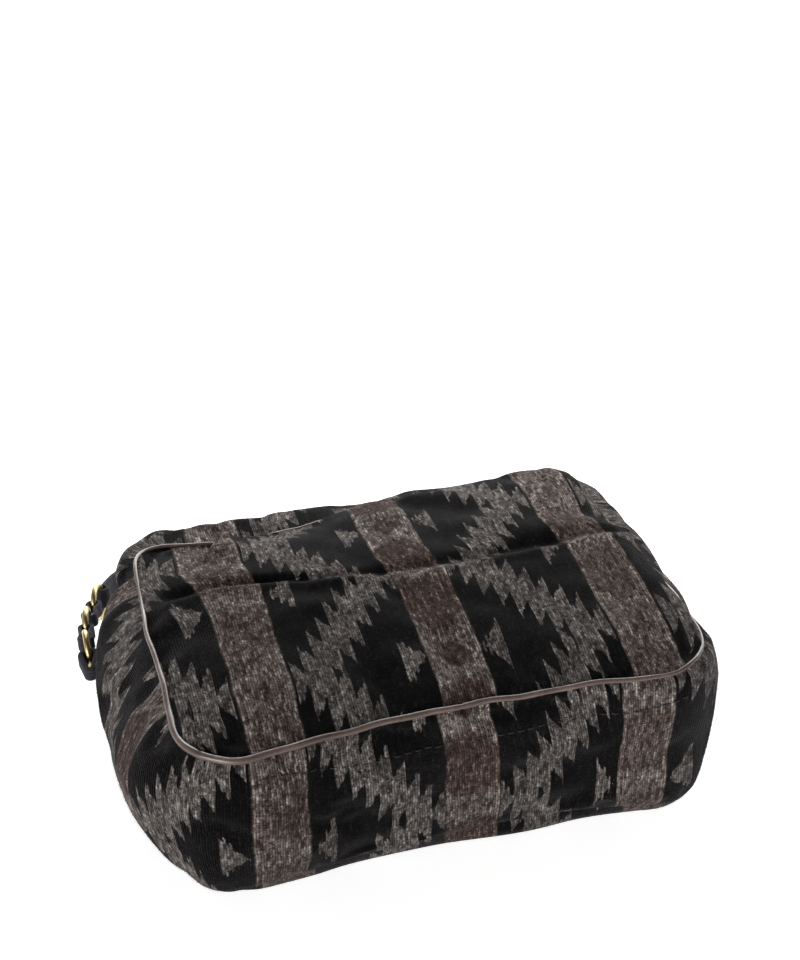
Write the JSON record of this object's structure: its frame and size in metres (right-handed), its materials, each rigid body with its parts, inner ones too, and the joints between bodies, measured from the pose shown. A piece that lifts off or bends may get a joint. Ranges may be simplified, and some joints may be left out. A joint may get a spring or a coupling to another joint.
{
  "type": "shoulder bag",
  "caption": "Soft zip-top shoulder bag in patterned cloth with piped front, swelling gussets, suede and brass link ends and a suede strap, lying filled on its back.",
  "frame": {"origin": "middle of the flat underside of the back panel, on the table the bag lies on", "axes": "+X across the bag to the right of someone facing its front, +Y from the bag's bottom to its zipped top, +Z out of the front panel, up as the bag lies"},
  "size_m": [0.3554, 0.2948, 0.1082],
  "materials": {
    "cloth": "ribbed chenille, matte",
    "leather": "smooth, semi-gloss",
    "suede": "napped, matte",
    "brass": "aged, satin",
    "tape": "woven, matte",
    "lining": "woven, matte"
  },
  "bodies": {
    "bag": {"front_panel": "cloth", "front_piping": "leather", "back_panel": "cloth", "main_gusset": "cloth", "top_gusset": "cloth", "zip_tape_front": "tape", "zip_tape_back": "tape", "zip_teeth_front": "brass", "zip_teeth_back": "brass", "zip_stop_left": "brass", "zip_stop_right": "brass", "lining": "lining", "tab_left": "suede", "tab_right": "suede", "tab_ring_left": "brass", "tab_ring_right": "brass"},
    "slider": {"zip_slider": "brass"},
    "pull": {"zip_pull": "brass"},
    "strap": {"strap_loop_left_1": "suede", "strap_loop_left_2": "suede", "strap_loop_right_1": "suede", "strap_loop_right_2": "suede", "strap_ring_left_1": "brass", "strap_ring_left_2": "brass", "strap_ring_right_1": "brass", "strap_ring_right_2": "brass", "shoulder_strap": "suede"}
  },
  "joints": [
    {"name": "strap_swing", "type": "hinge", "parent": "bag", "child": "strap", "pos_m": [0, 0.06466, 0.043], "axis": [1, 0, 0], "range_deg": [0, 108]},
    {"name": "zip_slide", "type": "slide", "parent": "bag", "child": "slider", "axis": [-1, 0, 0], "range_m": [0, 0.17]},
    {"name": "pull_swing", "type": "hinge", "parent": "slider", "child": "pull", "pos_m": [0.08589, 0.13478, 0.05183], "axis": [1, 0, 0], "range_deg": [0, 150]}
  ]
}
